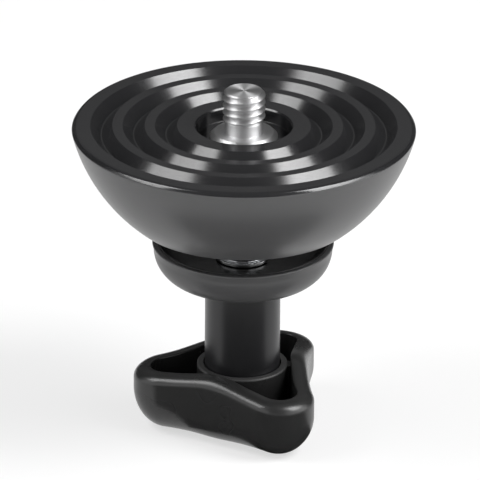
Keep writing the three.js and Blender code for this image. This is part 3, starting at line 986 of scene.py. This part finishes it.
def towards(azimuth, elevation):
    """A direction, with azimuth 0 at the front and 90 on the right."""
    azimuth, elevation = math.radians(azimuth), math.radians(elevation)
    level = math.cos(elevation)
    return Vector((math.sin(azimuth) * level, -math.cos(azimuth) * level, math.sin(elevation)))


def strip(away, width, height, brightness):
    """An upright lamp that faces the part. Its power grows with its area, so that it stays as bright."""
    lamp = bpy.data.lights.new("strip", "AREA")
    lamp.shape = "RECTANGLE"
    lamp.size = width
    lamp.size_y = height
    lamp.energy = brightness * math.pi * width * height
    holder = bpy.data.objects.new("strip", lamp)
    bpy.context.scene.collection.objects.link(holder)
    holder.location = (Vector((0, 0, FACE)) + away * PANEL_DISTANCE) * MM
    holder.rotation_euler = away.to_track_quat("Z", "Y").to_euler()
    holder.visible_camera = False


def softboxes():
    """Panels of light at either side, each made of upright strips that keep it at one distance."""
    for side, first, last, lowest, highest, brightness in PANELS:
        count = round((last - first) / STRIP_SWEEP)
        sweep = (last - first) / count
        elevation = (lowest + highest) / 2
        width = PANEL_DISTANCE * math.cos(math.radians(elevation)) * math.radians(sweep) * MM
        height = 2 * PANEL_DISTANCE * math.tan(math.radians(highest - lowest) / 2) * MM
        for number in range(count):
            middle = first + (number + 1 / 2) * sweep
            strip(towards(side * middle, elevation), width, height, brightness)


# A dark matt cloth for the drapes, which only reflections see, so it paints dark reflections.
def painted_reflection_cloth():
    nodes = Nodes("painted_reflection_cloth")
    matt = nodes.add("ShaderNodeBsdfDiffuse")
    matt.inputs["Color"].default_value = (DRAPE_PAINTED_REFLECTION_ALBEDO, DRAPE_PAINTED_REFLECTION_ALBEDO, DRAPE_PAINTED_REFLECTION_ALBEDO, 1)
    nodes.link(matt.outputs[0], nodes.output.inputs["Surface"])
    return nodes.material


def drape(name, section, sweep, material):
    """A section of (radius, height) swept round the axis, which only reflections see.

    It paints a dark reflection that shapes a gloss, as a photographer's dark drape does, but it casts no
    shadow.
    """
    vertices = []
    for step in range(DRAPE_STEPS + 1):
        side = towards(sweep[0] + (sweep[1] - sweep[0]) * step / DRAPE_STEPS, 0)
        vertices += [(side.x * radius, side.y * radius, height) for radius, height in section]
    faces = []
    count = len(section)
    for step in range(DRAPE_STEPS):
        for row in range(count - 1):
            first = step * count + row
            faces.append((first, first + 1, first + count + 1, first + count))
    cloth = new_object(name, vertices, faces)
    cloth.data.materials.append(material)
    cloth.visible_camera = False
    cloth.visible_diffuse = False
    cloth.visible_shadow = False
    cloth.visible_transmission = False


def drapes():
    """A low flag in front of the knob, a drape behind, and one at either side behind. All are painted dark
    reflections, and the flag's part on the floor is painted shade.
    """
    material = painted_reflection_cloth()
    # The flag's part on the floor is painted shade of the floor beside the knob, seen in reflections; its
    # upright part is a painted dark reflection.
    flag = [(FLAG_INNER_RADIUS, DRAPE_LIFT), (FLAG_OUTER_RADIUS, DRAPE_LIFT), (FLAG_OUTER_RADIUS, FLAG_TOP)]
    back = [(DRAPE_RADIUS, DRAPE_LIFT), (DRAPE_RADIUS, BACK_DRAPE_TOP)]
    side = [(DRAPE_RADIUS, SIDE_DRAPE_BOTTOM), (DRAPE_RADIUS, SIDE_DRAPE_TOP)]
    first, last = SIDE_DRAPE_SWEEP
    drape("front_flag_painted_shade", flag, FLAG_SWEEP, material)
    drape("back_drape_painted_reflection", back, BACK_DRAPE_SWEEP, material)
    drape("right_drape_painted_reflection", side, (first, last), material)
    drape("left_drape_painted_reflection", side, (-last, -first), material)


def camera():
    """Puts the face's centre at its pixel, from the pitch and distance that fit the photograph."""
    pitch = math.radians(CAMERA_PITCH)
    right = Vector((1, 0, 0))
    forward = Vector((0, math.cos(pitch), -math.sin(pitch)))
    up = Vector((0, math.sin(pitch), math.cos(pitch)))
    aside = (FACE_CENTRE_PIXEL[0] - IMAGE_CENTRE_PIXEL[0]) / PIXELS_PER_MM
    above = (IMAGE_CENTRE_PIXEL[1] - FACE_CENTRE_PIXEL[1]) / PIXELS_PER_MM
    place_at = Vector((0, 0, FACE)) - forward * CAMERA_DISTANCE - right * aside - up * above
    lens = bpy.data.cameras.new("camera")
    lens.sensor_width = SENSOR_WIDTH
    lens.lens = PIXELS_PER_MM * CAMERA_DISTANCE * SENSOR_WIDTH / PHOTO_WIDTH
    lens.clip_start = CAMERA_NEAR * MM
    lens.clip_end = CAMERA_FAR * MM
    holder = bpy.data.objects.new("camera", lens)
    bpy.context.scene.collection.objects.link(holder)
    axes = Matrix((right, up, -forward)).transposed()
    roll = Matrix.Rotation(math.radians(CAMERA_ROLL), 3, "Z")
    holder.matrix_world = Matrix.Translation(place_at * MM) @ (axes @ roll).to_4x4()
    bpy.context.scene.camera = holder


camera()
floor()
world()
softboxes()
drapes()
build_object()
bpy.context.scene.view_settings.view_transform = "Standard"
